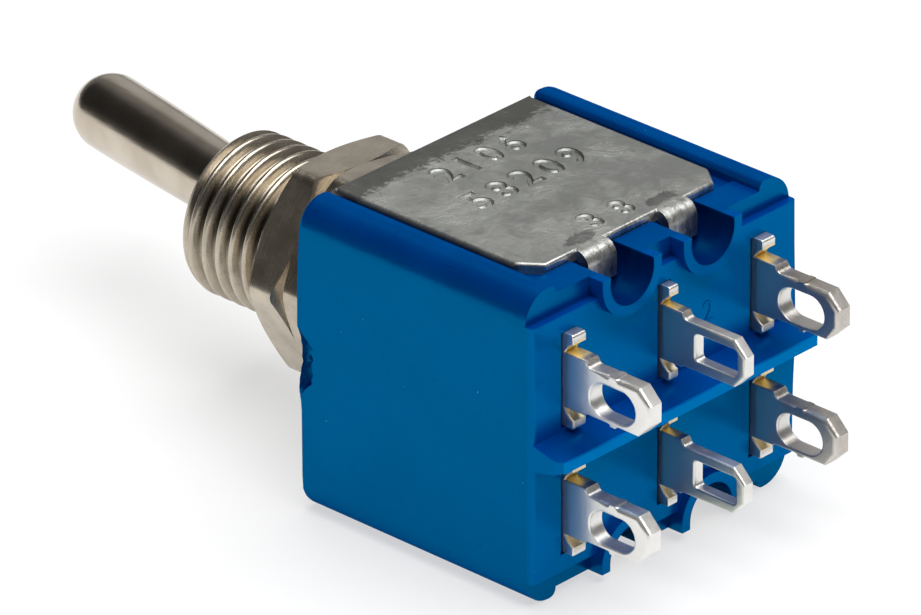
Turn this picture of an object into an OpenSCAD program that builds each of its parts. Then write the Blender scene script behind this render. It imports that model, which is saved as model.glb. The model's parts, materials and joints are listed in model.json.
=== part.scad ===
// Miniature two-pole toggle switch with a threaded bushing and solder lugs.
// Row frame: +Z up, -Y is the lever side, +Y the lug side. The origin lies on
// the bushing's axis, on the outer front face of the steel bracket.

/* [Body moulding] */
// Width across the side walls
case_w = 13.1; // [12.8:0.1:14]
// Height over the four corner rails
case_h = 11.7; // [11.5:0.1:12.6]
// Depth from the bracket's front face to the case's rear face
case_d = 10.45; // [10.4:0.05:11.4]
// Radius of the four long outer edges
case_edge_r = 1.15; // [0.5:0.05:1.3]
// Thickness of the floor and the roof between the rails
floor_wall = 1.0; // [0.9:0.05:1.1]
// Height of the rails over the bracket's bed
rail_h = 0.45; // [0.3:0.05:0.6]
// Height of the block that carries the terminals
block_h = 9.6; // [9.4:0.1:9.8]
// How far the terminal block stands out behind the case
block_proud = 0.35; // [0.3:0.05:0.6]
// Thickness of the wall that the terminals pass through
base_wall = 1.9; // [1.5:0.1:2.1]
// Thickness of the barrier between the two poles
barrier_t = 0.9; // [0.7:0.1:1]
// How far the barrier reaches into the case from its rear wall
barrier_d = 2.6; // [2:0.1:3]

/* [Divider between the lug rows] */
// Length behind the terminal block
divider_d = 1.27; // [0.8:0.05:1.6]
// Thickness at its root
divider_root_t = 1.0; // [0.6:0.05:1.2]
// Thickness at its rear edge
divider_edge_t = 0.37; // [0.2:0.05:0.6]
// How far its ends stand in from the case's sides
divider_end_in = 0; // [0:0.05:0.5]
// Corner cut at the two ends of its rear edge
divider_corner = 0.3; // [0.1:0.05:0.6]

/* [Tab pockets] */
// Distance of a pocket's centre from the switch's middle
tab_x = 2.0; // [1.9:0.05:2.2]
// Radius of a pocket's round bottom
pocket_r = 1.05; // [1:0.05:1.2]
// Height of a pocket's round centre above the axis
pocket_z = 5.25; // [5.2:0.05:5.3]
// Thickness of the wall around a pocket
pocket_wall = 0.4; // [0.3:0.05:0.5]
// How far that wall stands out behind the terminal block
pocket_proud = 0.3; // [0.2:0.05:0.6]
// How far the case behind the bracket's legs stands over their bed
pocket_lip = 0.12; // [0.05:0.01:0.2]

/* [Bracket] */
// Thickness of the sheet steel
sheet_t = 0.4; // [0.3:0.05:0.45]
// Length of the legs behind the front face
leg_d = 9.2; // [8.8:0.05:9.3]
// Outer radius of the two front bends
bend_r = 0.3; // [0.2:0.05:0.4]
// Corner cut of a leg, across the leg
corner_cut_x = 0.7; // [0.3:0.05:1]
// Corner cut of a leg, along the leg
corner_cut_y = 0.9; // [0.3:0.05:1.1]
// Straight run of a tab before its curl
curl_run = 0.02; // [0:0.02:0.4]
// Width of the tabs that hold the case
tab_w = 1.4; // [1.2:0.02:1.52]
// Inner radius of a tab's curl
curl_r = 0.15; // [0.15:0.05:0.6]
// Room between a tab's end and the round bottom of its pocket
tab_tip_room = 0.08; // [0.04:0.01:0.3]

/* [Bushing] */
// Outer diameter over the thread
bushing_d = 6.0; // [5.8:0.05:6.4]
// Length in front of the bracket
bushing_len = 9.0; // [8.4:0.1:11]
// How far its core under the nuts stands in from the thread's crests
core_in = 0.2; // [0.16:0.01:0.3]
// Spacing of the thread's crests
thread_pitch = 0.635; // [0.5:0.005:1]
// Depth of the thread
thread_depth = 0.3; // [0.2:0.01:0.4]
// Flat width left on each crest
thread_crest = 0.16; // [0.05:0.01:0.2]
// Distance of the lever's pivot from the bracket's front face
pivot_y = 4.8; // [4.5:0.1:5]
// Radius of the throat in front of the pivot
throat_r = 1.85; // [1.75:0.05:1.95]
// Radius of the mouth
mouth_r = 2.2; // [2.15:0.05:2.4]
// Chamfer around the mouth's outer edge
mouth_chamfer = 0.12; // [0.05:0.01:0.4]
// Radius of the spigot through the bracket
spigot_r = 2.6; // [2.5:0.05:2.7]
// Radius of the riveted rim behind the bracket
rim_r = 3.3; // [3:0.1:3.8]
// Thickness of the riveted rim
rim_t = 0.5; // [0.3:0.1:0.5]

/* [Nuts and washers] */
// Width across the flats of both nuts
nut_af = 7.57; // [7.3:0.01:8.2]
// Thickness of each nut
nut_t = 1.57; // [1.2:0.01:1.8]
// Slope of the chamfers on the nuts' corners, in degrees
nut_chamfer_a = 30; // [20:1:35]
// Turn of the outer nut about the bushing, in degrees
outer_turn = 2.5; // [-30:0.5:30]
// Turn of the inner nut about the bushing, in degrees
inner_turn = 7; // [-30:0.5:30]
// Thickness of the toothed lock washer
lock_t = 0.6; // [0.4:0.05:0.8]
// Outer radius of the lock washer
lock_r = 4.05; // [3.8:0.05:4.3]
// Number of inner teeth of the lock washer
lock_teeth = 10; // [6:1:12]
// Thickness of the locating ring
ring_t = 1.0; // [0.8:0.05:1.2]
// Outer radius of the locating ring
ring_r = 4.3; // [4.2:0.05:4.6]
// Width of the locating ring's key
key_w = 1.6; // [1:0.1:2.2]
// How far the key stands out of the ring
key_out = 0.7; // [0.4:0.1:1]
// How far the key is bent towards the panel
key_forward = 1.2; // [0.8:0.1:1.6]

/* [Lever] */
// Lean of the lever to either side, in degrees
lever_tilt = 10.8; // [10:0.1:11.2]
// Radius of the lever at the bushing's mouth
lever_root_r = 1.22; // [1.1:0.02:1.26]
// Radius of the lever near its tip
lever_tip_r = 1.41; // [1.25:0.02:1.7]
// Length of the lever from its pivot to its tip
lever_len = 14.53; // [12:0.05:20]
// Radius of the pivot ball
ball_r = 2.25; // [2.2:0.01:2.26]
// Radius of the stem that drives the mechanism
stem_r = 0.8; // [0.6:0.05:0.9]
// Reach of the stem behind the pivot
stem_len = 7.6; // [7.2:0.1:7.7]

/* [Mechanism] */
// Distance from the pivot to the carrier's front
carrier_y = 6.4; // [6.3:0.1:6.6]
// Thickness of the carrier's bridge
carrier_t = 1.7; // [1.5:0.1:1.9]
// Width of the carrier's bridge
carrier_w = 2.6; // [2.4:0.1:2.8]
// Wall of the barrels that hold the plungers
barrel_wall = 0.4; // [0.3:0.05:0.45]
// Distance from the pivot to the barrels' ends
barrel_y = 10.2; // [9.9:0.1:10.3]
// Radius of the plungers
plunger_r = 0.85; // [0.8:0.05:0.95]
// Radius of the plungers' rounded tips
plunger_tip_r = 0.6; // [0.5:0.05:0.65]
// Length of the plungers' guided part
plunger_len = 1.5; // [1.2:0.1:1.7]
// Length of a plunger's neck before its rounded tip
plunger_neck = 0.45; // [0.3:0.05:0.6]
// Floor of the barrels' bores
bore_floor = 0.5; // [0.3:0.1:0.6]
// Wire radius of the plunger springs
spring_wire_r = 0.1; // [0.08:0.01:0.13]
// Number of turns of the plunger springs
spring_turns = 4; // [3:1:5]
// Lean of the rockers to either side, in degrees
rocker_tilt = 8; // [6:0.5:9]
// Half length of the rockers
rocker_half = 4.75; // [4.6:0.05:4.8]
// Width of the rockers
rocker_w = 2.5; // [2:0.1:2.6]
// Thickness of the rockers
rocker_t = 0.3; // [0.2:0.05:0.3]
// Distance of the contact point from the rocker's pivot
contact_x = 4.2; // [4:0.05:4.3]
// Half width of a rocker's dished middle
dish_half = 2.6; // [2.4:0.05:2.7]
// Offset of the wings' contact faces from the rocker's pivot
wing_offset = 0.2; // [0.1:0.05:0.3]
// Length of a wing's flat end on the inner side of its contact point
wing_flat = 0.6; // [0.4:0.1:0.8]
// Radius of the edge that a rocker sits on
fulcrum_r = 0.32; // [0.25:0.01:0.36]

/* [Terminals] */
// Spacing of the lugs along a row
lug_pitch = 4.7; // [4.6:0.05:4.8]
// Spacing of the two rows
row_pitch = 4.78; // [4.7:0.02:4.8]
// Thickness of the end lugs
lug_t = 0.64; // [0.5:0.02:0.7]
// Thickness of the common lugs
common_t = 0.46; // [0.4:0.02:0.64]
// Height of a lug's blade
blade_h = 1.76; // [1.6:0.02:1.9]
// How far the blade sits below the middle of its root
blade_drop = 0.08; // [0:0.01:0.12]
// Height of a lug's shoulder at the block
shoulder_h = 2.06; // [2:0.02:2.2]
// Distance of the lugs' ends from the bracket's front face
lug_end = 14.6; // [14.2:0.1:15.6]
// Length of the shoulder outside the block
shoulder_d = 0.95; // [0.6:0.05:1]
// Corner cut at a lug's end
lug_chamfer = 0.52; // [0.3:0.02:0.6]
// Height of the round-ended hole in an end lug
eye_h = 1.24; // [0.9:0.02:1.3]
// Length of the round-ended hole
eye_l = 2.0; // [1.8:0.05:2.4]
// Metal left past the round-ended hole
eye_margin = 0.65; // [0.4:0.05:0.7]
// Metal left below the round-ended hole
eye_rim = 0.15; // [0.1:0.01:0.3]
// Height of the square hole in a common lug
slot_h = 1.02; // [0.9:0.02:1.2]
// Length of the square hole
slot_l = 1.86; // [1.5:0.02:2.1]
// Metal left past the square hole
slot_margin = 0.38; // [0.3:0.01:0.6]
// Metal left below the square hole
slot_rim = 0.39; // [0.2:0.01:0.5]
// Corner radius of the square hole
slot_corner_r = 0.16; // [0.05:0.01:0.3]
// Height over the sheared ears at a lug's root
ear_h = 3.52; // [3.4:0.02:3.56]
// How far the ears stand out of the block
ear_d = 0.42; // [0.2:0.02:0.55]
// Height of an ear's end
ear_end_h = 0.38; // [0.2:0.02:0.5]
// Length of the nubs on an end lug's edges
nub_l = 0.26; // [0.16:0.02:0.4]
// How far the nubs stand out
nub_h = 0.08; // [0.04:0.01:0.12]
// Room beside each lug in the block
lug_slot_room = 0.18; // [0.1:0.02:0.24]
// Thickness of the contact feet
foot_t = 0.4; // [0.3:0.05:0.5]
// Width of the contact feet
foot_w = 1.3; // [1.1:0.05:1.4]
// Height of the contact feet
foot_h = 2.4; // [2:0.1:2.6]

/* [Clearances] */
// Between the end terminals and the side walls
wall_clear = 0.03; // [0.02:0.01:0.1]
// Between the bracket's legs and the rails beside them
leg_gap = 0.2; // [0.1:0.05:0.4]
// Between running surfaces, on the radius
run_clear = 0.05; // [0.03:0.01:0.08]
// Between the bracket's curls and the case
curl_clear = 0.05; // [0.02:0.01:0.1]
// Between a plunger's tip and its rocker
tip_clear = 0.03; // [0.02:0.01:0.05]
// Between a rocker and the contact that it is closed on
contact_clear = 0.02; // [0.01:0.01:0.03]
// Around the terminals' edges in the block
slot_clear = 0.02; // [0:0.01:0.04]

/* [Hidden] */
$fn = 64;
eps = 0.01;
over = 1;

// Levels of the body and the bracket
bed_z = case_h / 2 - rail_h;
leg_z = bed_z + sheet_t;
bed_half = lug_pitch + lug_t / 2 + wall_clear;
leg_w = 2 * (bed_half - leg_gap);
cavity_h = 2 * (bed_z - floor_wall);
block_y = case_d + block_proud;
inner_y = block_y - base_wall;
pocket_rear = block_y + pocket_proud;

// A tab's curl and the face of the case that it grips
curl_y = leg_d + curl_run;
curl_z = bed_z - curl_r;
curl_face = curl_y + curl_r;
tab_tip_z = pocket_z - sqrt(pocket_r * pocket_r - tab_w * tab_w / 4) + tab_tip_room;

// Bushing stack
bushing_r = bushing_d / 2;
seat_r = ball_r + run_clear;
throat_at = pivot_y + sqrt(seat_r * seat_r - throat_r * throat_r);
core_r = bushing_r - core_in;
nut_bore_r = core_r + run_clear;
washer_bore_r = bushing_r + run_clear;
nut_corner_r = nut_af / 2 / cos(30);
ring_at = 0;
lock_at = ring_at + ring_t;
inner_nut_at = lock_at + lock_t;
outer_nut_at = inner_nut_at + nut_t;
free_at = outer_nut_at + nut_t + run_clear;
thread_end = bushing_len - mouth_chamfer;
grooves = floor((thread_end - free_at) / thread_pitch);

// Rows, terminals and their levels
row_z = row_pitch / 2;
contact_y = inner_y - foot_t;
shoulder_end = block_y + shoulder_d;
blade_low = -blade_h / 2 - blade_drop;
eye_at = lug_end - eye_margin - eye_l / 2;
eye_z = blade_low + eye_rim + eye_h / 2;
slot_at = lug_end - slot_margin - slot_l / 2;
slot_z = blade_low + slot_rim + slot_h / 2;

// Rocker: its pivot stands where its closed end just meets the contact
saddle_r = fulcrum_r + run_clear;
wing_y = contact_x * sin(rocker_tilt) + wing_offset * cos(rocker_tilt);
fulcrum_y = contact_y - contact_clear - wing_y;
saddle_web = rocker_t / 10;
dish_y = saddle_r + rocker_t + saddle_web;
rocker_ratio = rocker_tilt / lever_tilt;

// Path of a plunger's tip as a rocker sees it, from the middle to the end
pivot_gap = fulcrum_y + pivot_y;
tip_y = pivot_gap - dish_y - plunger_tip_r - tip_clear;
tip_side = [tip_y * sin(lever_tilt), pivot_gap - tip_y * cos(lever_tilt)];
path_end = [
    cos(rocker_tilt) * tip_side[0] - sin(rocker_tilt) * tip_side[1],
    sin(rocker_tilt) * tip_side[0] + cos(rocker_tilt) * tip_side[1]
];
path_rise = path_end[1] - (pivot_gap - tip_y);
path_r = (path_end[0] * path_end[0] + path_rise * path_rise) / (2 * path_rise);
dish_r = path_r + plunger_tip_r + tip_clear;
dish_centre = dish_y + dish_r;
dish_edge_y = dish_centre - sqrt(dish_r * dish_r - dish_half * dish_half);

// Carrier and springs, measured along the stem from the pivot
bore_r = plunger_r + run_clear;
barrel_r = bore_r + barrel_wall;
plunger_at = tip_y - plunger_neck - plunger_len;
spring_r = plunger_r - spring_wire_r - run_clear;
bore_at = carrier_y + bore_floor;
spring_len = plunger_at - bore_at;

// A prism along Y between two levels, from an outline drawn in X and Z
module along_y(from, to) {
    translate([0, to, 0])
        rotate([90, 0, 0])
            linear_extrude(to - from)
                children();
}

// A prism along X between two levels, from an outline drawn in Y and Z
module along_x(from, to) {
    translate([from, 0, 0])
        rotate([90, 0, 90])
            linear_extrude(to - from)
                children();
}

// Turns a shape made along +Z so that it runs out of the panel, along -Y
module outwards() {
    rotate([90, 0, 0])
        children();
}

// Puts a shape made along +Z onto the lever's line at rest, behind the pivot
module behind_pivot() {
    translate([0, -pivot_y, 0])
        rotate([0, 0, -lever_tilt])
            rotate([-90, 0, 0])
                children();
}

module mirrored(axis) {
    children();
    mirror(axis)
        children();
}

module rounded_rect(w, h, r) {
    square([w - 2 * r, h], center = true);
    square([w, h - 2 * r], center = true);
    for (x = [-1, 1], y = [-1, 1])
        translate([x * (w / 2 - r), y * (h / 2 - r)])
            circle(r);
}

// Outline of a pocket: a round bottom that opens upwards
module pocket_outline(r, top) {
    intersection() {
        translate([0, pocket_z])
            circle(r);
        translate([-r, pocket_z - r])
            square([2 * r, top - pocket_z + r]);
    }
    translate([-r, pocket_z])
        square([2 * r, top - pocket_z]);
}

module divider_outline() {
    polygon([
        [block_y - eps, -divider_root_t / 2],
        [block_y + divider_d, -divider_edge_t / 2],
        [block_y + divider_d, divider_edge_t / 2],
        [block_y - eps, divider_root_t / 2]
    ]);
}

module divider() {
    half_w = case_w / 2 - divider_end_in;
    rear = block_y + divider_d;
    difference() {
        along_x(-half_w, half_w)
            divider_outline();
        for (side = [-1, 1])
            linear_extrude(2 * divider_root_t, center = true)
                polygon([
                    [side * (half_w - divider_corner - over), rear + over],
                    [side * (half_w + over), rear + over],
                    [side * (half_w + over), rear - divider_corner - over]
                ]);
    }
}

// Solid stock of the case before anything is cut from it
module case_stock() {
    difference() {
        along_y(0, case_d)
            rounded_rect(case_w, case_h, case_edge_r);
        mirrored([0, 0, 1])
            translate([-bed_half, -over, bed_z])
                cube([2 * bed_half, case_d + 2 * over, over + rail_h]);
    }
    mirrored([0, 0, 1])
        translate([-bed_half - eps, leg_d + curl_clear, bed_z - eps])
            cube([2 * bed_half + 2 * eps, case_d - leg_d - curl_clear, pocket_lip + eps]);
    along_y(case_d - over, block_y)
        square([case_w, block_h], center = true);
    mirrored([0, 0, 1])
        for (x = [-tab_x, tab_x])
            translate([x, 0, 0])
                along_y(leg_d + curl_clear, pocket_rear)
                    pocket_outline(pocket_r + pocket_wall, bed_z + pocket_lip);
    divider();
}

// Room for one tab: the pocket, and the rounded edge that the curl wraps
module tab_room() {
    along_y(curl_face - curl_clear, pocket_rear + over)
        pocket_outline(pocket_r, bed_z + over);
    difference() {
        along_x(-pocket_r, pocket_r)
            translate([curl_y, curl_z])
                square([curl_r + over, curl_r + over]);
        along_x(-pocket_r - over, pocket_r + over) {
            translate([curl_y, curl_z])
                circle(curl_r - curl_clear);
            translate([curl_face - curl_clear, curl_z - over])
                square([2 * over + curl_r, over]);
        }
    }
    // Straight run of the tab over the bed before its curl
    translate([-pocket_r, leg_d, bed_z])
        cube([2 * pocket_r, curl_y - leg_d + over, over]);
}

// Slot of a terminal of thickness t, with its room on the +X side
module terminal_slot(t) {
    translate([-t / 2, inner_y - eps, -ear_h / 2 - slot_clear])
        cube([t + lug_slot_room, base_wall + 2 * over, ear_h + 2 * slot_clear]);
}

module case_body() {
    color("#005b95")
    union() {
        difference() {
            case_stock();
            // The bracket's front plate stands between the side walls
            translate([-bed_half, -over, -case_h])
                cube([2 * bed_half, over + sheet_t, 2 * case_h]);
            along_y(-over, inner_y)
                square([2 * bed_half, cavity_h], center = true);
            mirrored([0, 0, 1])
                for (x = [-tab_x, tab_x])
                    translate([x, 0, 0])
                        tab_room();
            for (x = [-1, 0, 1], z = [-1, 1])
                translate([x * lug_pitch, 0, z * row_z])
                    terminal_slot(x == 0 ? common_t : lug_t);
        }
        along_y(inner_y - barrier_d, inner_y + eps)
            square([2 * bed_half + 2 * eps, barrier_t], center = true);
    }
}

// Side view of the folded sheet, without its tabs
module bracket_outline() {
    difference() {
        union() {
            translate([bend_r, -leg_z])
                square([leg_d - bend_r, 2 * leg_z]);
            translate([0, -leg_z + bend_r])
                square([bend_r + eps, 2 * (leg_z - bend_r)]);
            for (z = [-1, 1])
                translate([bend_r, z * (leg_z - bend_r)])
                    circle(bend_r);
        }
        translate([sheet_t, -bed_z])
            square([leg_d + over, 2 * bed_z]);
    }
}

// Side view of one tab: a short straight, a quarter curl and a straight end
module tab_outline() {
    translate([leg_d - eps, bed_z])
        square([curl_y - leg_d + 2 * eps, sheet_t]);
    translate([curl_y, curl_z])
        intersection() {
            difference() {
                circle(curl_r + sheet_t);
                circle(curl_r);
            }
            square(2 * curl_r + 2 * sheet_t);
        }
    translate([curl_face, tab_tip_z])
        square([sheet_t, curl_z - tab_tip_z + eps]);
}

module bracket() {
    color("#a7a69e")
    difference() {
        union() {
            along_x(-leg_w / 2, leg_w / 2)
                bracket_outline();
            mirrored([0, 0, 1])
                for (x = [-tab_x, tab_x])
                    translate([x, 0, 0])
                        along_x(-tab_w / 2, tab_w / 2)
                            tab_outline();
        }
        for (side = [-1, 1])
            translate([side * leg_w / 2, leg_d, 0])
                linear_extrude(4 * leg_z, center = true)
                    polygon([
                        [side * over, -corner_cut_y - over * corner_cut_y / corner_cut_x],
                        [side * over, over],
                        [-side * corner_cut_x, over],
                        [-side * corner_cut_x, 0]
                    ]);
        outwards()
            cylinder(r = spigot_r, h = 4 * sheet_t, center = true);
    }
}

// One V groove of the thread around the axis, centred on its own level and cut past the crests
module thread_groove() {
    groove_w = thread_pitch - thread_crest;
    rotate_extrude()
        polygon([
            [bushing_r - thread_depth, 0],
            [bushing_r + thread_depth, groove_w],
            [bushing_r + thread_depth, -groove_w]
        ]);
}

module bushing() {
    color("#b9ae9c")
    outwards()
        difference() {
            union() {
                cylinder(r = core_r, h = free_at + eps);
                translate([0, 0, free_at])
                    cylinder(r = bushing_r, h = thread_end - free_at);
                translate([0, 0, thread_end])
                    cylinder(r1 = bushing_r, r2 = bushing_r - mouth_chamfer, h = mouth_chamfer);
                translate([0, 0, -sheet_t - eps])
                    cylinder(r = spigot_r, h = sheet_t + 2 * eps);
                translate([0, 0, -sheet_t - rim_t])
                    cylinder(r = rim_r, h = rim_t);
            }
            translate([0, 0, -sheet_t - rim_t - over])
                cylinder(r = seat_r, h = pivot_y + sheet_t + rim_t + over);
            translate([0, 0, pivot_y])
                sphere(seat_r);
            translate([0, 0, pivot_y])
                cylinder(r = throat_r, h = throat_at - pivot_y + eps);
            translate([0, 0, throat_at])
                cylinder(r1 = throat_r, r2 = mouth_r, h = bushing_len - throat_at + eps);
            for (i = [1:grooves])
                translate([0, 0, thread_end + thread_crest - i * thread_pitch])
                    thread_groove();
        }
}

// A hexagon nut along +Z with both faces chamfered to its flats
module hex_nut(turn) {
    flat_r = nut_af / 2;
    spread = nut_t / tan(nut_chamfer_a);
    difference() {
        intersection() {
            rotate([0, 0, turn])
                cylinder(r = nut_corner_r, h = nut_t, $fn = 6);
            cylinder(r1 = flat_r, r2 = flat_r + spread, h = nut_t);
            cylinder(r1 = flat_r + spread, r2 = flat_r, h = nut_t);
        }
        translate([0, 0, -over])
            cylinder(r = nut_bore_r, h = nut_t + 2 * over);
    }
}

module nut_outer() {
    color("#b3a897")
    outwards()
        translate([0, 0, outer_nut_at])
            hex_nut(outer_turn);
}

module nut_inner() {
    color("#a89c8a")
    outwards()
        translate([0, 0, inner_nut_at])
            hex_nut(inner_turn);
}

// A flat ring whose inner edge carries square teeth
module lock_washer() {
    pitch = 360 / lock_teeth;
    root_r = (washer_bore_r + lock_r) / 2;
    color("#9b968c")
    outwards()
        translate([0, 0, lock_at])
            difference() {
                cylinder(r = lock_r, h = lock_t);
                translate([0, 0, -over])
                    cylinder(r = washer_bore_r, h = lock_t + 2 * over);
                for (i = [0:lock_teeth - 1])
                    rotate([0, 0, i * pitch])
                        translate([0, -washer_bore_r * sin(pitch / 4), -over])
                            cube([root_r, 2 * washer_bore_r * sin(pitch / 4), lock_t + 2 * over]);
            }
}

// A flat ring with one key bent towards the panel
module locating_ring() {
    color("#a39e94")
    outwards()
        translate([0, 0, ring_at])
            difference() {
                union() {
                    cylinder(r = ring_r, h = ring_t);
                    translate([-key_w / 2, -ring_r - key_out, 0])
                        cube([key_w, ring_r / 2 + key_out, ring_t]);
                    translate([-key_w / 2, -ring_r - key_out, 0])
                        cube([key_w, sheet_t + eps, ring_t + key_forward]);
                }
                translate([0, 0, -over])
                    cylinder(r = washer_bore_r, h = ring_t + key_forward + 2 * over);
            }
}

// Bat handle, ball and stem turned from one rod, along its own line
module lever_rod() {
    mouth = bushing_len - pivot_y;
    dome_at = lever_len - lever_tip_r;
    mirror([0, 0, 1]) {
        cylinder(r = lever_root_r, h = mouth + eps);
        translate([0, 0, mouth])
            cylinder(r1 = lever_root_r, r2 = lever_tip_r, h = dome_at - mouth);
        translate([0, 0, dome_at])
            sphere(lever_tip_r);
    }
    sphere(ball_r);
    cylinder(r = stem_r, h = stem_len);
}

module lever() {
    color("#c9c6c2")
    behind_pivot()
        lever_rod();
}

// Bridge on the lever's stem with one barrel for each pole
module carrier() {
    color("#e8e4d8")
    behind_pivot()
        difference() {
            union() {
                translate([-carrier_w / 2, -row_z, carrier_y])
                    cube([carrier_w, 2 * row_z, carrier_t]);
                for (z = [-row_z, row_z])
                    translate([0, z, carrier_y])
                        cylinder(r = barrel_r, h = barrel_y - carrier_y);
            }
            translate([0, 0, carrier_y - over])
                cylinder(r = stem_r, h = stem_len - carrier_y + over);
            for (z = [-row_z, row_z])
                translate([0, z, bore_at])
                    cylinder(r = bore_r, h = barrel_y - bore_at + over);
        }
}

module plunger(z) {
    color("#f2efe6")
    behind_pivot()
        translate([0, -z, 0]) {
            translate([0, 0, plunger_at])
                cylinder(r = plunger_r, h = plunger_len);
            translate([0, 0, plunger_at + plunger_len - eps])
                cylinder(r = plunger_tip_r, h = tip_y - plunger_at - plunger_len + eps);
            translate([0, 0, tip_y])
                sphere(plunger_tip_r);
        }
}

module plunger_upper() { plunger(row_z); }
module plunger_lower() { plunger(-row_z); }

// Points of a wire's section around its helix at one step
function coil_ring(step, steps, sides) =
    let (
        turn = 360 * spring_turns * step / steps,
        rise = spring_wire_r + (spring_len - 2 * spring_wire_r) * step / steps
    )
    [for (i = [0:sides - 1])
        let (a = 360 * i / sides, r = spring_r + spring_wire_r * cos(a))
        [r * cos(turn), r * sin(turn), rise + spring_wire_r * sin(a)]];

module coil_spring(z) {
    sides = 6;
    steps = 14 * spring_turns;
    points = [for (s = [0:steps]) each coil_ring(s, steps, sides)];
    walls = [for (s = [0:steps - 1], i = [0:sides - 1])
        let (j = (i + 1) % sides)
        [s * sides + i, (s + 1) * sides + i, (s + 1) * sides + j, s * sides + j]];
    start = [for (i = [0:sides - 1]) i];
    end = [for (i = [sides - 1:-1:0]) steps * sides + i];
    color("#9a9a98")
    behind_pivot()
        translate([0, -z, bore_at])
            polyhedron(points, concat([start], walls, [end]));
}

module spring_upper() { coil_spring(row_z); }
module spring_lower() { coil_spring(-row_z); }

// One wing of a rocker: from the dish's edge down to its flat contact end
module wing_outline() {
    slope = tan(rocker_tilt);
    end_y = slope * (rocker_half - contact_x) - wing_offset;
    knee_x = contact_x - wing_flat;
    knee_y = -slope * wing_flat - wing_offset;
    root_x = dish_half - 1.5 * rocker_t;
    root_y = dish_centre - sqrt(pow(dish_r + rocker_t / 2, 2) - root_x * root_x);
    polygon([
        [root_x, root_y],
        [dish_half, dish_edge_y - rocker_t / 10],
        [knee_x + rocker_t / 2, knee_y + rocker_t],
        [rocker_half, end_y + rocker_t],
        [rocker_half, end_y],
        [knee_x, knee_y]
    ]);
}

// Dished middle of a rocker, with its saddle for the fulcrum
module dish_outline() {
    difference() {
        union() {
            intersection() {
                translate([0, dish_centre])
                    difference() {
                        circle(dish_r + rocker_t, $fn = 96);
                        circle(dish_r, $fn = 96);
                    }
                translate([rocker_t / 2 - dish_half, 0])
                    square([2 * dish_half - rocker_t, dish_centre]);
            }
            translate([-2 * saddle_r, -fulcrum_r / 2])
                square([4 * saddle_r, dish_y - rocker_t / 2 + fulcrum_r / 2]);
        }
        circle(saddle_r);
        translate([-saddle_r, -over])
            square([2 * saddle_r, over]);
    }
}

// A rocker's outlines have +Y towards the plunger and its pivot at the origin
module rocker(z) {
    color("#c98f4a")
    translate([0, fulcrum_y, z - rocker_w / 2])
        rotate([0, 0, rocker_tilt])
            mirror([0, 1, 0]) {
                linear_extrude(rocker_w)
                    dish_outline();
                mirrored([1, 0, 0])
                    linear_extrude(rocker_w)
                        wing_outline();
            }
}

module rocker_upper() { rocker(row_z); }
module rocker_lower() { rocker(-row_z); }

// Blade of a lug outside the block, with its shoulder, ears and cut corners
module lug_outline() {
    blade_top = blade_low + blade_h;
    polygon([
        [block_y - eps, blade_low],
        [lug_end - lug_chamfer, blade_low],
        [lug_end, blade_low + lug_chamfer],
        [lug_end, blade_top - lug_chamfer],
        [lug_end - lug_chamfer, blade_top],
        [block_y - eps, blade_top]
    ]);
    translate([block_y - eps, -shoulder_h / 2])
        square([shoulder_d + eps, shoulder_h]);
    for (z = [-1, 1])
        polygon([
            [block_y - eps, z * shoulder_h / 2 - z * eps],
            [block_y + ear_d, z * (ear_h / 2 - ear_end_h)],
            [block_y + ear_d, z * ear_h / 2],
            [block_y - eps, z * ear_h / 2]
        ]);
}

// Edge nubs of an end lug, beside its eye
module lug_nubs() {
    for (z = [blade_low, blade_low + blade_h])
        translate([eye_at - nub_l / 2, z - nub_h])
            square([nub_l, 2 * nub_h]);
}

module eye_outline() {
    square([eye_l - eye_h, eye_h], center = true);
    for (y = [-1, 1])
        translate([y * (eye_l - eye_h) / 2, 0])
            circle(eye_h / 2);
}

// Root of a lug inside the block, up to a level inside the case
module root_outline(from, h) {
    translate([inner_y, -ear_h / 2])
        square([base_wall, ear_h]);
    translate([from, -h / 2])
        square([inner_y - from + eps, h]);
}

// End lug with its contact foot turned towards the switch's middle
module end_terminal(side, z) {
    color("#cfcdc6")
    translate([side * lug_pitch, 0, z]) {
        along_x(-lug_t / 2, lug_t / 2)
            difference() {
                union() {
                    lug_outline();
                    lug_nubs();
                    root_outline(contact_y, foot_h);
                }
                translate([eye_at, eye_z])
                    eye_outline();
            }
        translate([side > 0 ? lug_t / 2 - foot_w : -lug_t / 2, contact_y, -foot_h / 2])
            cube([foot_w, foot_t, foot_h]);
    }
}

// Common lug, whose inner end is the round edge that the rocker sits on
module common_terminal(z) {
    color("#cfcdc6")
    translate([0, 0, z]) {
        along_x(-common_t / 2, common_t / 2)
            difference() {
                union() {
                    lug_outline();
                    root_outline(fulcrum_y, foot_h);
                }
                translate([slot_at, slot_z])
                    rounded_rect(slot_l, slot_h, slot_corner_r);
            }
        translate([0, fulcrum_y, 0])
            cylinder(r = fulcrum_r, h = foot_h, center = true);
    }
}

module terminal_upper_left() { end_terminal(-1, row_z); }
module terminal_upper_common() { common_terminal(row_z); }
module terminal_upper_right() { end_terminal(1, row_z); }
module terminal_lower_left() { end_terminal(-1, -row_z); }
module terminal_lower_common() { common_terminal(-row_z); }
module terminal_lower_right() { end_terminal(1, -row_z); }

case_body();
bracket();
bushing();
nut_outer();
nut_inner();
lock_washer();
locating_ring();
lever();
carrier();
plunger_upper();
plunger_lower();
spring_upper();
spring_lower();
rocker_upper();
rocker_lower();
terminal_upper_left();
terminal_upper_common();
terminal_upper_right();
terminal_lower_left();
terminal_lower_common();
terminal_lower_right();
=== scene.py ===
"""Visual model of a miniature two-pole toggle switch, dressed over its CAD frame.

Lengths are written in millimetres and turned to metres where a mesh is made.
+Z is up, -Y the lever's side and +Y the lugs' side.
"""
import json
import math

import bmesh
import bpy
from mathutils import Matrix, Vector


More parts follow.
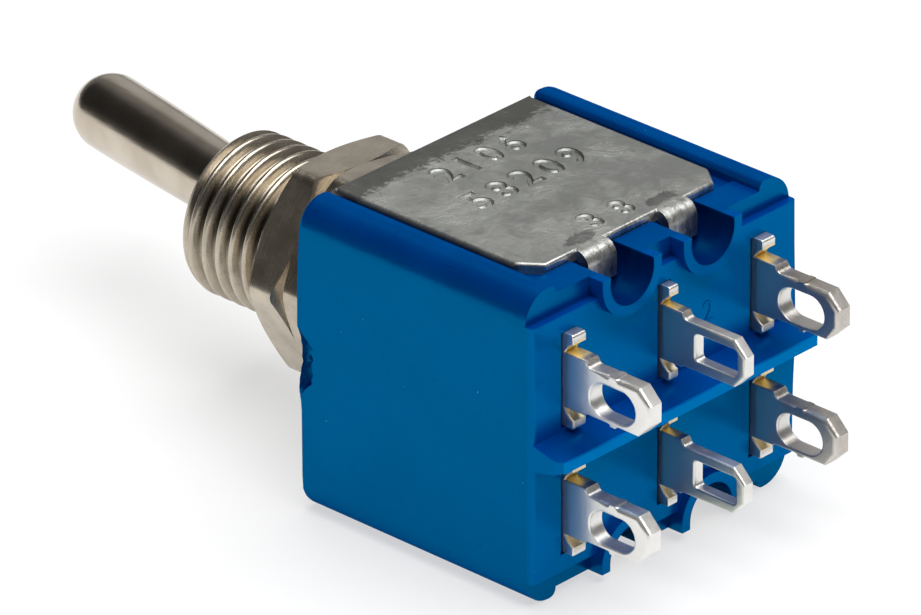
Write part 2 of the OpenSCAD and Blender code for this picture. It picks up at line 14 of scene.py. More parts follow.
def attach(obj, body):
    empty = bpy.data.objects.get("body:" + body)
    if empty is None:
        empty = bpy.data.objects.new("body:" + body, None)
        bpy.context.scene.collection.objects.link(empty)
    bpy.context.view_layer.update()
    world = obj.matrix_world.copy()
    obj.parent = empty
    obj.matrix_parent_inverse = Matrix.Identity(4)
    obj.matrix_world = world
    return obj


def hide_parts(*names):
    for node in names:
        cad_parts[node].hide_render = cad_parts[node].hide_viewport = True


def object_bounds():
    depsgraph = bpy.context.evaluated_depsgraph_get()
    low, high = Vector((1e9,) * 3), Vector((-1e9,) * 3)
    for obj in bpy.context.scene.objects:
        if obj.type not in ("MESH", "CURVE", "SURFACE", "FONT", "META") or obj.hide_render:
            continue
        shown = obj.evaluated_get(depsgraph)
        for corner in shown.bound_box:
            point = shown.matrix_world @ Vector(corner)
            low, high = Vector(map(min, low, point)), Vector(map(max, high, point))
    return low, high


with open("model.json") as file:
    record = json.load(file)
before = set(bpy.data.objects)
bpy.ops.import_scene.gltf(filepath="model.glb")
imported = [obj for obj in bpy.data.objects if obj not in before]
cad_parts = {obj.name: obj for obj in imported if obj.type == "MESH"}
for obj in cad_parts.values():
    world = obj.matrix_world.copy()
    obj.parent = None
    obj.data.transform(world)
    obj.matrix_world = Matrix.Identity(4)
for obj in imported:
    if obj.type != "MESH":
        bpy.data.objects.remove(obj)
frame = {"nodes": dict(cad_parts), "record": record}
cad_low, cad_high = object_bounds()

MM = 0.001
NODES = frame["nodes"]

# Sizes shared by several pieces, in millimetres
BUSHING_R, BUSHING_LEN, PIVOT_Y = 3.0, 9.0, 4.8
SHEET_T, BED_Z = 0.4, 5.4
LUG_PITCH, ROW_Z = 4.7, 2.39
BLOCK_Y, LUG_END = 10.8, 14.6
CASE_HALF_W, CASE_HALF_H, BED_HALF = 6.55, 5.85, 5.05
LEG_HALF_W, TAB_X, POCKET_Z = 4.85, 2.0, 5.25
LEVER_TILT = math.radians(10.8)
SHARP = math.radians(35)  # edges that turn by more than this are rounded

# Place across and thickness of the three lugs in a row
LUGS = {"left": (-LUG_PITCH, 0.64), "common": (0.05, 0.46), "right": (LUG_PITCH, 0.64)}


# ---------------------------------------------------------------- node graphs

class Value:
    """A socket in a node tree, with operators that add Math nodes."""

    def __init__(self, graph, socket):
        self.graph, self.socket = graph, socket

    def math(self, operation, *others):
        return self.graph.node("ShaderNodeMath", {"operation": operation},
                               dict(enumerate((self, *others))))

    def __add__(self, other):
        return self.math("ADD", other)

    def __sub__(self, other):
        return self.math("SUBTRACT", other)

    def __rsub__(self, other):
        return self.graph.node("ShaderNodeMath", {"operation": "SUBTRACT"}, {0: other, 1: self})

    def __mul__(self, other):
        return self.math("MULTIPLY", other)

    def __truediv__(self, other):
        return self.math("DIVIDE", other)

    def __pow__(self, other):
        return self.math("POWER", other)

    def __neg__(self):
        return self.math("MULTIPLY", -1.0)

    def __abs__(self):
        return self.math("ABSOLUTE")

    __radd__ = __add__
    __rmul__ = __mul__

    def above(self, low, high):
        """0 below low, 1 above high, smooth between."""
        return self.graph.node(
            "ShaderNodeMapRange", {"interpolation_type": "SMOOTHSTEP"},
            {"Value": self, "From Min": low, "From Max": high})

    def below(self, low, high):
        """1 below low, 0 above high, smooth between."""
        return 1.0 - self.above(low, high)

    def beyond(self, low_mm, high_mm):
        """Like above, for a length, with the limits in millimetres."""
        return self.above(low_mm * MM, high_mm * MM)

    def short_of(self, low_mm, high_mm):
        """Like below, for a length, with the limits in millimetres."""
        return self.below(low_mm * MM, high_mm * MM)


class Graph:
    """Adds nodes to a tree: one call gives a node its settings and its inputs."""

    def __init__(self, tree):
        self.tree = tree

    def link(self, value, socket):
        if isinstance(value, Value):
            self.tree.links.new(value.socket, socket)
        elif isinstance(value, tuple) and socket.type == "RGBA":
            socket.default_value = (*value, 1.0)
        else:
            socket.default_value = value

    def node(self, kind, settings=None, inputs=None, out=0):
        node = self.tree.nodes.new(kind)
        for name, setting in (settings or {}).items():
            setattr(node, name, setting)
        for name, value in (inputs or {}).items():
            self.link(value, node.inputs[name])
        return Value(self, node.outputs[out])

    def find(self, kind):
        """The first node of a kind that the tree has."""
        return next(n for n in self.tree.nodes if n.type == kind)

    def place(self):
        return self.node("ShaderNodeTexCoord", out="Object")

    def axes(self, vector):
        split = self.node("ShaderNodeSeparateXYZ", {}, {0: vector})
        return [Value(self, s) for s in split.socket.node.outputs]

    def stretched(self, vector, scale):
        return self.node("ShaderNodeMapping", {}, {"Vector": vector, "Scale": scale})

    def noise(self, vector, size_mm, detail=3.0, rough=0.5, distortion=0.0):
        return self.node("ShaderNodeTexNoise", {}, {
            "Vector": vector, "Scale": 1.0 / (size_mm * MM), "Detail": detail,
            "Roughness": rough, "Distortion": distortion})

    def mix(self, factor, a, b):
        """Colour a where the factor is 0, b where it is 1."""
        node = self.tree.nodes.new("ShaderNodeMix")
        node.data_type, node.blend_type, node.clamp_factor = "RGBA", "MIX", True
        for index, value in ((0, factor), (6, a), (7, b)):
            self.link(value, node.inputs[index])
        return Value(self, node.outputs[2])

    def bump(self, height, depth_mm):
        return self.node("ShaderNodeBump", {}, {
            "Height": height, "Distance": depth_mm * MM, "Strength": 1.0})


def new_material(name, build, **constants):
    """A Principled material: build(graph) returns what its varying sockets take."""
    material = bpy.data.materials.new(name)
    material.use_nodes = True
    graph = Graph(material.node_tree)
    shader = graph.find("BSDF_PRINCIPLED")
    for socket, value in {**constants, **build(graph)}.items():
        graph.link(value, shader.inputs[socket.replace("_", " ")])
    return material


def lay_over(graph, under, shader, share):
    """Mixes a share of another shader over a material's own one."""
    both = graph.node("ShaderNodeMixShader", {}, {
        0: share, 1: Value(graph, under.outputs[0]), 2: shader})
    graph.link(both, graph.find("OUTPUT_MATERIAL").inputs["Surface"])


def sheen_over(material, colour, roughness, share, sheen_weakened):
    """Lays a coloured mirror sheen over a finished material, sharing its normal;
    the sheen is weaker where the mask that it is given nears 1."""
    graph = Graph(material.node_tree)
    under = graph.find("BSDF_PRINCIPLED")
    normal = Value(graph, under.inputs["Normal"].links[0].from_socket)
    sheen = graph.node("ShaderNodeBsdfPrincipled", {}, {
        "Base Color": colour, "Metallic": 1.0, "Roughness": roughness, "Normal": normal,
        "Specular Tint": (0.1, 0.6, 1.0)})
    lay_over(graph, under, sheen, share * (1.0 - sheen_weakened(graph) * 0.8))
    return material


def grey(level):
    return (level, level, level)


# ------------------------------------------------------------------ materials

def in_pocket(g):
    """1 inside the round pockets behind the tabs, 0 elsewhere."""
    x, y, z = g.axes(g.place())
    across, up = abs(x) - TAB_X * MM, abs(z) - POCKET_Z * MM
    off_axis = (across * across + up * up) ** 0.5
    return off_axis.short_of(1.06, 1.10) * y.beyond(8.8, 9.4)


def in_scar(g):
    """1 inside the torn patch that the gate left, 0 elsewhere."""
    x, y, z = g.axes(g.place())
    deep = (CASE_HALF_W * MM - x).beyond(0.01, 0.06) * x.beyond(6.1, 6.3)
    return deep * y.short_of(0.7, 0.9) * abs(z).short_of(1.1, 1.5)


def shaded_pockets_dull_scar(g):
    """Where the sheen is weakened: in the pockets as painted shade, and on the dull torn patch."""
    return in_pocket(g) + in_scar(g)


def blue_moulding(g):
    """Satin blue with faint clouds, dark specks and pale dust. Painted light makes the rear face lighter,
    the divider's edge has a painted highlight, the pockets painted shade; the torn patch is darker."""
    place = g.place()
    y = g.axes(place)[1]
    cloud = g.noise(place, 2.6, 2.0)
    fine = g.noise(place, 0.12, 4.0)
    torn = g.noise(place, 0.30, 4.0, 0.6, 0.8)
    specks = g.noise(place, 0.34, 1.0).above(0.775, 0.80)
    dust = g.noise(g.stretched(place, (1.0, 1.0, 0.7)), 0.21, 1.0).above(0.80, 0.83)
    rear = y.beyond(BLOCK_Y - 0.35, BLOCK_Y - 0.15)
    divider_edge_highlight = y.beyond(11.96, 12.03)
    scar = in_scar(g)
    colour = g.mix(cloud.above(0.3, 0.7), (0.0, 0.023, 0.155), (0.0, 0.029, 0.182))
    colour = g.mix(specks * 0.55, colour, (0.001, 0.012, 0.050))
    colour = g.mix(dust * 0.35, colour, (0.16, 0.30, 0.42))
    # painted light: the rear face is made a lighter blue
    colour = g.mix(rear * 0.85, colour, (0.0, 0.038, 0.240))
    # painted highlight along the divider's rear edge
    colour = g.mix(divider_edge_highlight * 0.8, colour, (0.0, 0.13, 0.46))
    # painted shade: the pockets are darkened
    colour = g.mix(in_pocket(g) * 0.8, colour, (0.0, 0.005, 0.050))
    colour = g.mix(scar * (0.5 + torn * 0.5), colour, (0.0, 0.012, 0.105))
    return {"Base_Color": colour,
            "Roughness": 0.24 + fine * 0.10 + cloud * 0.05 + scar * 0.3,
            "Normal": g.bump(fine * 0.6 + cloud * 0.9 + scar * torn * 9.0, 0.012)}


def tinned_steel(g):
    """Dull tin with drifting clouds and fine marks, a dark strip along each front bend
    and a rubbed patch in front of each tab. The rolled long edges are painted dark as a painted
    reflection, and the rear edges and the tabs' curls carry a painted highlight, streaked dark."""
    lighter_per_mm, wander_swirl, wander_grain = 0.014, 1.6, 1.0
    smudge_y, smudge_half_x, smudge_half_y, smudge_wander = 8.72, 0.80, 0.34, 1.6
    place = g.place()
    x, y, z = g.axes(place)
    cloud = g.noise(place, 1.7, 4.0, 0.62)
    swirl = g.noise(place, 0.9, 5.0, 0.66, 1.6)
    grain = g.noise(g.stretched(place, (0.6, 1.4, 1.0)), 0.14, 3.0, 0.6, 0.6)
    drawn = g.noise(g.stretched(place, (2.2, 0.7, 0.7)), 0.5, 4.0, 0.6, 0.8)
    vein = 1.0 - abs(swirl - 0.5) * 22.0
    vein = vein.above(0.2, 1.0) * cloud.above(0.46, 0.62)
    tone = cloud * 0.5 + swirl * 0.5 + x * (lighter_per_mm / MM)
    on_leg = abs(z).beyond(5.2, 5.6)
    border = (swirl - 0.5) * (wander_swirl * MM) + (grain - 0.5) * (wander_grain * MM)
    strip = (y + border).short_of(1.05, 1.45) * on_leg
    across = (abs(x) - TAB_X * MM) / (smudge_half_x * MM)
    along = (y - smudge_y * MM) / (smudge_half_y * MM)
    smudge = across * across + along * along + border * (smudge_wander / MM)
    smudge = smudge.below(0.65, 1.0) * on_leg
    rolled = abs(x).beyond(LEG_HALF_W - 0.22, LEG_HALF_W - 0.07) * on_leg
    edge_and_curl_highlight = y.beyond(9.05, 9.15)
    curl_dark_streak = drawn.below(0.28, 0.40) * y.beyond(9.2, 9.3)
    colour = g.mix(tone.above(0.36, 0.66), (0.29, 0.297, 0.28), (0.425, 0.432, 0.41))
    colour = g.mix(vein * 0.45, colour, (0.47, 0.47, 0.44))
    colour = g.mix(strip * 0.8, colour, (0.085, 0.083, 0.075))
    colour = g.mix(smudge * 0.55, colour, (0.10, 0.10, 0.095))
    # painted dark reflection along the rolled long edges
    colour = g.mix(rolled * 0.7, colour, grey(0.10))
    # painted highlight on the rear edges and the tabs' curls, streaked, with dark streaks below
    colour = g.mix(edge_and_curl_highlight * (drawn.above(0.32, 0.62) * 0.85 + cloud * 0.2), colour, (0.68, 0.68, 0.65))
    colour = g.mix(curl_dark_streak * 0.4, colour, grey(0.10))
    return {"Base_Color": colour,
            "Roughness": 0.36 + cloud * 0.16 + grain * 0.08 - vein * 0.06 - smudge * 0.08 - edge_and_curl_highlight * 0.14,
            "Normal": g.bump(grain * 0.5 + cloud * 0.9 + swirl * 0.8 - vein * 0.2, 0.02)}


def nickel_plate(g):
    """Warm nickel with painted shade below the thread's crests and inside the mouth, deepest in a band
    of heights above the axis, and a painted highlight on the lead-ins round the nuts' bores."""
    place = g.place()
    x, _, z = g.axes(place)
    cloud = g.noise(place, 1.1, 4.0, 0.6)
    turning = g.noise(g.stretched(place, (0.4, 5.0, 0.4)), 0.25, 3.0, 0.6)
    radius = (x * x + z * z) ** 0.5
    groove = radius.short_of(BUSHING_R - 0.28, BUSHING_R - 0.10)
    painted_shade_band = z.beyond(-0.3, 0.7) * z.short_of(1.6, 2.6)
    lead_in_highlight = radius.beyond(3.06, 3.12) * radius.short_of(3.19, 3.21)
    colour = g.mix(cloud.above(0.32, 0.7), (0.44, 0.385, 0.305), (0.58, 0.515, 0.42))
    # painted shade in the thread's grooves and the mouth, deepest in a band of heights
    colour = g.mix(groove * (0.42 + painted_shade_band * 0.55), colour, (0.035, 0.03, 0.023))
    # painted highlight on the lead-ins round the nuts' bores
    colour = g.mix(lead_in_highlight * 0.6, colour, (0.82, 0.75, 0.64))
    return {"Base_Color": colour,
            "Roughness": 0.17 + cloud * 0.14 + turning * 0.05,
            "Normal": g.bump(turning * 0.6 + cloud * 0.8, 0.012)}


def bright_nickel(g):
    place = g.place()
    cloud = g.noise(place, 1.9, 3.0, 0.5)
    drawn = g.noise(g.stretched(place, (5.0, 0.25, 5.0)), 0.5, 3.0, 0.55)
    colour = g.mix(cloud.above(0.3, 0.7), (0.52, 0.455, 0.37), (0.63, 0.56, 0.47))
    return {"Base_Color": colour,
            "Roughness": 0.15 + cloud * 0.07 + drawn * 0.05,
            "Normal": g.bump(cloud * 0.8 + drawn * 0.4, 0.008)}


def zinc_steel(g):
    place = g.place()
    cloud = g.noise(place, 0.9, 4.0, 0.6)
    colour = g.mix(cloud.above(0.35, 0.65), (0.40, 0.385, 0.345), (0.56, 0.545, 0.50))
    return {"Base_Color": colour, "Roughness": 0.26 + cloud * 0.18,
            "Normal": g.bump(cloud, 0.012)}


def tinned_brass(g):
    """Bright tin; sheared walls are duller and streaked, with bare brass next to the block. The flat faces
    of lugs away from the near column are painted darker and greener, as painted shade and painted
    reflection.
    The far lugs are tarnished towards their tips."""
    place = g.place()
    x, y, z = g.axes(place)
    cloud = g.noise(place, 0.9, 3.0, 0.55)
    ripple = g.noise(place, 0.28, 3.0, 0.6)
    streak = g.noise(g.stretched(place, (2.6, 0.5, 1.6)), 0.20, 4.0, 0.65)
    sheared = g.node("ShaderNodeAttribute", {"attribute_name": "sheared"}, out="Fac")
    across = abs(abs(z) - ROW_Z * MM)
    on_shoulder = across.beyond(0.90, 0.98) * across.short_of(1.42, 1.56)
    under = (z.math("SIGN") * (ROW_Z * MM) - z).beyond(0.0, 0.5)
    bare = y.short_of(11.38, 11.62) * on_shoulder * sheared * (1.0 - under * 0.65)
    tarnish = x.short_of(-3.6, -3.0) * y.beyond(11.9, 12.4)
    wall = g.mix(cloud.above(0.3, 0.7), (0.80, 0.79, 0.76), (0.92, 0.91, 0.89))
    # painted shade and painted reflection: flat faces away from the near column are darker and greener
    flat = g.mix(x.beyond(3.0, 4.0), (0.60, 0.63, 0.55), (0.86, 0.85, 0.81))
    colour = g.mix(sheared.above(0.0, 0.06), flat, wall)
    colour = g.mix(tarnish * (1.0 - sheared) * 0.5, colour, (0.50, 0.44, 0.38))
    colour = g.mix(sheared * (0.55 + streak.above(0.3, 0.7) * 0.45), colour, (0.36, 0.325, 0.285))
    colour = g.mix(bare * (0.55 + ripple * 0.75), colour, (0.96, 0.78, 0.38))
    colour = g.mix(tarnish * sheared * 0.35, colour, (0.30, 0.225, 0.165))
    return {"Base_Color": colour,
            "Metallic": 0.94 + sheared * 0.06,
            "Roughness": 0.24 + cloud * 0.14 + ripple * 0.05 + sheared * 0.03 + bare * 0.10,
            "Normal": g.bump(cloud * 0.9 + ripple * 0.5 + sheared * streak * 0.9, 0.012)}


def white_nylon(g):
    cloud = g.noise(g.place(), 0.8, 3.0)
    colour = g.mix(cloud, (0.74, 0.71, 0.62), (0.83, 0.81, 0.74))
    return {"Base_Color": colour, "Roughness": 0.42 + cloud * 0.15, "Normal": g.bump(cloud, 0.01)}


def spring_wire(g):
    drawn = g.noise(g.place(), 0.15, 3.0)
    colour = g.mix(drawn, grey(0.30), grey(0.46))
    return {"Base_Color": colour, "Roughness": 0.25 + drawn * 0.2, "Normal": g.bump(drawn, 0.003)}


def contact_brass(g):
    rolled = g.noise(g.stretched(g.place(), (0.3, 1.0, 4.0)), 0.3, 4.0)
    colour = g.mix(rolled, (0.60, 0.36, 0.13), (0.74, 0.50, 0.22))
    return {"Base_Color": colour, "Roughness": 0.22 + rolled * 0.2, "Normal": g.bump(rolled, 0.006)}


MATERIALS = {
    # the sheen is weakened in the pockets as painted shade, and on the dull torn patch
    "blue_moulding": sheen_over(
        new_material("satin_blue_moulding", blue_moulding, Specular_IOR_Level=0.0),
        colour=(0.0, 0.50, 0.97), roughness=0.27, share=0.165, sheen_weakened=shaded_pockets_dull_scar),
    "tinned_steel": new_material("mottled_tin_plate", tinned_steel, Metallic=1.0),
    "nickel_plate": new_material("warm_nickel_plate", nickel_plate, Metallic=1.0),
    "bright_nickel": new_material("bright_turned_nickel", bright_nickel, Metallic=1.0),
    "zinc_steel": new_material("plain_zinc", zinc_steel, Metallic=1.0),
    "tinned_brass": new_material("tinned_lug_metal", tinned_brass, Metallic=1.0),
    "white_nylon": new_material("natural_nylon", white_nylon),
    "spring_wire": new_material("drawn_spring_wire", spring_wire, Metallic=1.0),
    "contact_brass": new_material("rolled_contact_brass", contact_brass, Metallic=1.0),
}
SLOT_OF = {part["node"]: part["material_slot"] for part in frame["record"]["subparts"]}


# -------------------------------------------------------------- mesh helpers

def add_object(name, data):
    piece = bpy.data.objects.new(name, data)
    bpy.context.scene.collection.objects.link(piece)
    return piece


def mesh_of(bm, name):
    mesh = bpy.data.meshes.new(name)
    bm.to_mesh(mesh)
    bm.free()
    return mesh


def baked(piece):
    """Turns a piece's modifiers into its plain mesh."""
    graph = bpy.context.evaluated_depsgraph_get()
    graph.update()
    mesh = bpy.data.meshes.new_from_object(piece.evaluated_get(graph))
    piece.modifiers.clear()
    if piece.type == "MESH":
        old, piece.data = piece.data, mesh
        bpy.data.meshes.remove(old)
        return piece
    name = piece.name
    bpy.data.objects.remove(piece)
    return add_object(name, mesh)


def rounded(piece, width_mm):
    """Rounds every sharp edge."""
    bevel = piece.modifiers.new("edges", "BEVEL")
    bevel.width, bevel.segments = width_mm * MM, 3
    bevel.limit_method, bevel.angle_limit = "ANGLE", SHARP
    bevel.use_clamp_overlap = True
    baked(piece)


def rounded_where(piece, width_mm, chosen):
    """Rounds only the sharp edges that chosen(x, y, z, along) picks by their middle, in mm."""
    bm = bmesh.new()
    bm.from_mesh(piece.data)
    picked = []
    for edge in bm.edges:
        if len(edge.link_faces) == 2 and edge.calc_face_angle(0.0) > SHARP:
            a, b = (v.co for v in edge.verts)
            middle, run = (a + b) / 2 / MM, (b - a).normalized()
            along = "XYZ"[max(range(3), key=lambda i: abs(run[i]))]
            if chosen(*middle, along):
                picked.append(edge)
    bmesh.ops.bevel(bm, geom=picked, offset=width_mm * MM, offset_type="OFFSET", segments=4,
                    profile=0.5, affect="EDGES", clamp_overlap=False)
    bm.to_mesh(piece.data)
    bm.free()


def smooth(piece, angle):
    """Smooth shading within an angle, each corner's direction weighted by the faces' areas.
    A wide flat keeps its own direction at all its corners."""
    mesh = piece.data
    mesh.shade_smooth()
    limit, wide = math.cos(math.radians(angle)), 0.45 * MM
    normals = [face.normal.copy() for face in mesh.polygons]
    areas = [face.area for face in mesh.polygons]
    around = [[] for _ in mesh.vertices]
    flat = []
    for face in mesh.polygons:
        corners = [mesh.vertices[i].co for i in face.vertices]
        longest = max((a - b).length for a, b in zip(corners, corners[1:] + corners[:1]))
        flat.append(areas[face.index] > wide * max(longest, wide))
        for i in face.vertices:
            around[i].append(face.index)
    custom = []
    for face in mesh.polygons:
        own = normals[face.index]
        for i in face.vertices:
            if flat[face.index]:
                custom.append(own)
                continue
            close = [f for f in around[i] if normals[f].dot(own) > limit]
            flats = [f for f in close if flat[f]]
            if flats:
                custom.append(normals[max(flats, key=lambda f: normals[f].dot(own))])
            else:
                total = sum((normals[f] * areas[f] for f in close), Vector())
                custom.append(total.normalized() if total.length else own)
    mesh.normals_split_custom_set(custom)


def dress(piece, body, *nodes):
    """Gives a finished piece its material and its body, and hides the CAD nodes it stands for."""
    slot = SLOT_OF[nodes[0]]
    piece.data.materials.clear()
    piece.data.materials.append(MATERIALS[slot])
    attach(piece, body)
    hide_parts(*nodes)


def cad_copy(node, name):
    """A copy of a CAD node's mesh with its triangles joined into clean faces."""
    bm = bmesh.new()
    bm.from_mesh(NODES[node].data)
    bmesh.ops.remove_doubles(bm, verts=bm.verts, dist=0.002 * MM)
    bmesh.ops.dissolve_limit(bm, angle_limit=math.radians(0.6), verts=bm.verts, edges=bm.edges)
    return add_object(name, mesh_of(bm, name))


def cut_away(piece, cutter):
    """Takes one mesh away from another."""
    boolean = piece.modifiers.new("cut", "BOOLEAN")
    boolean.object, boolean.operation, boolean.solver = cutter, "DIFFERENCE", "EXACT"
    baked(piece)
    bpy.data.objects.remove(cutter)


def turned(name, rings, steps, axis_point=(0, 0, 0), axis=(0, -1, 0), closed=True):
    """A turned shape: rings are (along, radius) pairs, each a number or a function of the angle."""
    def at(number, angle):
        return number(angle) if callable(number) else number
    bm = bmesh.new()
    turn = Vector((0, 0, 1)).rotation_difference(Vector(axis)).to_matrix().to_4x4()
    placed = Matrix.Translation(Vector(axis_point) * MM) @ turn
    loops = []
    for along, radius in rings:
        loop = []
        for i in range(steps):
            angle = 2 * math.pi * i / steps
            r, z = at(radius, angle) * MM, at(along, angle) * MM
            loop.append(bm.verts.new(placed @ Vector((r * math.cos(angle), r * math.sin(angle), z))))
        loops.append(loop)
    for a, b in zip(loops, loops[1:] + (loops[:1] if closed else [])):
        for i in range(steps):
            j = (i + 1) % steps
            bm.faces.new((a[i], a[j], b[j], b[i]))
    bmesh.ops.remove_doubles(bm, verts=bm.verts, dist=0.0005 * MM)
    bmesh.ops.recalc_face_normals(bm, faces=bm.faces)
    return add_object(name, mesh_of(bm, name))


def arc(cx, cy, r, start, end, count):
    """Points along an arc, its two angles in degrees."""
    return [(cx + r * math.cos(math.radians(start + (end - start) * i / count)),
             cy + r * math.sin(math.radians(start + (end - start) * i / count)))
            for i in range(count + 1)]


# ------------------------------------------------------------------- bushing

THREAD_PITCH, THREAD_DEPTH = 0.635, 0.30


def thread_tree():
    """Geometry nodes that press a helical thread into the outside of a turned bushing."""
    tree = bpy.data.node_groups.new("helical_thread", "GeometryNodeTree")
    face = tree.interface
    face.new_socket("Geometry", in_out="OUTPUT", socket_type="NodeSocketGeometry")
    face.new_socket("Geometry", in_out="INPUT", socket_type="NodeSocketGeometry")
    for name in ("Pitch", "Depth", "Crest Radius", "Start", "End"):
        face.new_socket(name, in_out="INPUT", socket_type="NodeSocketFloat")
    face.new_socket("Material", in_out="INPUT", socket_type="NodeSocketMaterial")
    g = Graph(tree)
    entry = tree.nodes.new("NodeGroupInput")
    given = {s.name: Value(g, s) for s in entry.outputs if s.name}
    x, y, z = g.axes(g.node("GeometryNodeInputPosition"))
    radius = (x * x + z * z) ** 0.5
    along = -y
    turn = z.math("ARCTAN2", x) / (2 * math.pi)
    phase = (along / given["Pitch"] + turn).math("FRACT")
    wave = (phase * 2.0 - 1.0).math("ABSOLUTE")
    groove = wave.above(0.12, 0.92)
    outside = radius.math("GREATER_THAN", given["Crest Radius"] * 0.99)
    inner = (along - given["Start"]) / given["Pitch"]
    outer = (given["End"] - along) / given["Pitch"]
    mask = outside * inner.above(0.0, 0.6) * outer.above(0.0, 0.5)
    shrink = groove * given["Depth"] * mask / radius
    offset = g.node("ShaderNodeCombineXYZ", {}, {0: -(x * shrink), 2: -(z * shrink)})
    moved = g.node("GeometryNodeSetPosition", {}, {"Geometry": given["Geometry"], "Offset": offset})
    real = g.node("GeometryNodeRealizeInstances", {}, {"Geometry": moved})
    done = g.node("GeometryNodeSetMaterial", {}, {"Geometry": real, "Material": given["Material"]})
    leave = tree.nodes.new("NodeGroupOutput")
    g.link(done, leave.inputs[0])
    return tree


def make_bushing():
    """The bushing: ball seat, mouth and rim turned in one, with the thread pressed in after."""
    seat_r, throat_r, mouth_r, spigot_r, rim_r, rim_t = 2.30, 1.85, 2.2, 2.6, 3.3, 0.5
    chamfer, lip = 0.12, 0.06
    throat_at = PIVOT_Y + math.sqrt(seat_r ** 2 - throat_r ** 2)
    seat = [(PIVOT_Y + seat_r * math.sin(a), seat_r * math.cos(a))
            for a in [math.acos(throat_r / seat_r) * i / 6 for i in range(7)]]
    crest_end = BUSHING_LEN - chamfer
    rings_along = int(crest_end / THREAD_PITCH * 16)
    outside = [(crest_end * (1 - i / rings_along), BUSHING_R) for i in range(rings_along + 1)]
    rings = [(-SHEET_T - rim_t, seat_r)] + seat + [
        (throat_at, throat_r), (BUSHING_LEN - lip, mouth_r - 0.004), (BUSHING_LEN, mouth_r + lip),
        (BUSHING_LEN, BUSHING_R - chamfer)] + outside + [
        (0.0, spigot_r), (-SHEET_T, spigot_r), (-SHEET_T, rim_r), (-SHEET_T - rim_t, rim_r)]
    piece = turned("bushing_threaded", rings, 120)
    modifier = piece.modifiers.new("thread", "NODES")
    modifier.node_group = thread_tree()
    sizes = {"Pitch": THREAD_PITCH * MM, "Depth": THREAD_DEPTH * MM, "Crest Radius": BUSHING_R * MM,
             "Start": 0.0, "End": (crest_end + 0.1) * MM,
             "Material": MATERIALS["nickel_plate"]}
    for socket in modifier.node_group.interface.items_tree:
        if socket.in_out == "INPUT" and socket.name in sizes:
            modifier[socket.identifier] = sizes[socket.name]
    baked(piece)
    smooth(piece, 50)
    dress(piece, "switch_body", "bushing")


# ---------------------------------------------------------------------- nuts

# The faces stand back by NUT_SEAT, so that those of two nuts don't lie in one plane
NUT_FLATS, NUT_THICK, NUT_BORE_R, NUT_SEAT = 7.57, 1.57, 3.05, 0.008


def make_nut(name, node, start, turn_deg):
    """A hexagon nut: cone chamfers meet its flats along curved lines."""
    half_af, thick, slope = NUT_FLATS / 2, NUT_THICK - 2 * NUT_SEAT, math.tan(math.radians(30))
    soften, edge, lead = 0.10, 0.035, 0.18

    def hexagon(angle):
        """Distance of the side at an angle, with its corner a little rounded."""
        local = (angle - math.radians(turn_deg)) % (math.pi / 3) - math.pi / 6
        corner = half_af / math.cos(math.pi / 6) - soften
        side = half_af / math.cos(local)
        return side if side < corner else corner + (side - corner) * 0.35

    def shoulder(angle):
        """Depth of the cone chamfer where it meets the side."""
        return (hexagon(angle) - half_af) * slope

    rings = [
        (lead, NUT_BORE_R), (0.0, NUT_BORE_R + lead), (0.0, half_af - edge), (edge * slope, half_af),
        (shoulder, hexagon), (lambda a: shoulder(a) + edge, hexagon),
        (lambda a: thick - shoulder(a) - edge, hexagon), (lambda a: thick - shoulder(a), hexagon),
        (thick - edge * slope, half_af), (thick, half_af - edge),
        (thick, NUT_BORE_R + lead), (thick - lead, NUT_BORE_R)]
    piece = turned(name, rings, 180, (0, -start - NUT_SEAT, 0))
    smooth(piece, 22)
    dress(piece, node, node)


# --------------------------------------------------------------------- lever

def make_lever():
    """The bat lever: stem, ball, neck and a bat that swells to a round tip."""
    root_r, tip_r, reach, ball_r, stem_r, stem_len = 1.22, 1.41, 14.53, 2.25, 0.8, 7.6
    mouth = BUSHING_LEN - PIVOT_Y
    dome_at = reach - tip_r
    neck = math.asin(root_r / ball_r)
    foot = math.asin(stem_r / ball_r)
    rings = [(-stem_len, 0.0), (-stem_len, stem_r - 0.08), (-stem_len + 0.08, stem_r)]
    rings += [(-ball_r * math.cos(a), ball_r * math.sin(a))
              for a in [foot + (math.pi - neck - foot) * i / 24 for i in range(25)]]
    rings += [(mouth * (0.55 + 0.45 * i / 4), root_r) for i in range(5)]
    rings += [(mouth + (dome_at - mouth) * i / 20,
               root_r + (tip_r - root_r) * math.sin(math.pi / 2 * i / 20)) for i in range(1, 21)]
    rings += [(dome_at + tip_r * math.sin(math.radians(a)), tip_r * math.cos(math.radians(a)))
              for a in range(6, 91, 6)]
    axis = (-math.sin(LEVER_TILT), -math.cos(LEVER_TILT), 0)
    piece = turned("lever_bat", rings, 96, (0, -PIVOT_Y, 0), axis, closed=False)
    smooth(piece, 60)
    dress(piece, "lever", "lever")


# ------------------------------------------------------------ case and bracket

def near(value, target):
    """True where a coordinate, on either side of the middle, is the target."""
    return abs(abs(value) - target) < 0.02


